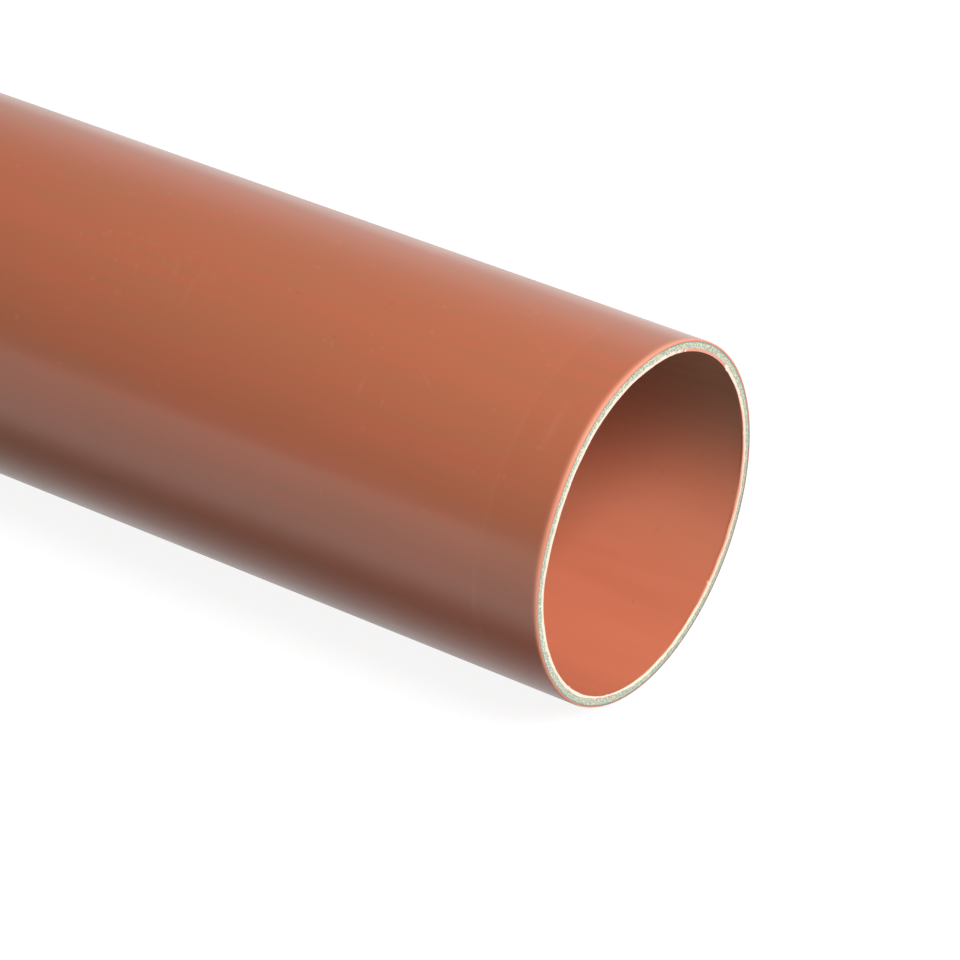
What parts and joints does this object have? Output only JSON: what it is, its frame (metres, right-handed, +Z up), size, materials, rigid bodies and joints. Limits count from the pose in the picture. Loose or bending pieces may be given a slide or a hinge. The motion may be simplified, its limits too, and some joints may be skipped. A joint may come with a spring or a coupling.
{
  "type": "pvc sewer pipe",
  "caption": "Plain-ended length of terracotta PVC sewer pipe with a three-layer wall, sawn square and deburred by hand, for underground drains.",
  "frame": {"origin": "on the floor line below the middle of the pipe, which lies level", "axes": "+X along the pipe's axis towards its sawn, hand-deburred front end; +Z up"},
  "size_m": [1, 0.11, 0.11],
  "materials": {
    "terracotta_skin": "satin",
    "granular_core": "matte"
  },
  "bodies": {
    "root": {"outer_skin": "terracotta_skin", "core": "granular_core", "inner_skin": "terracotta_skin"}
  },
  "joints": []
}
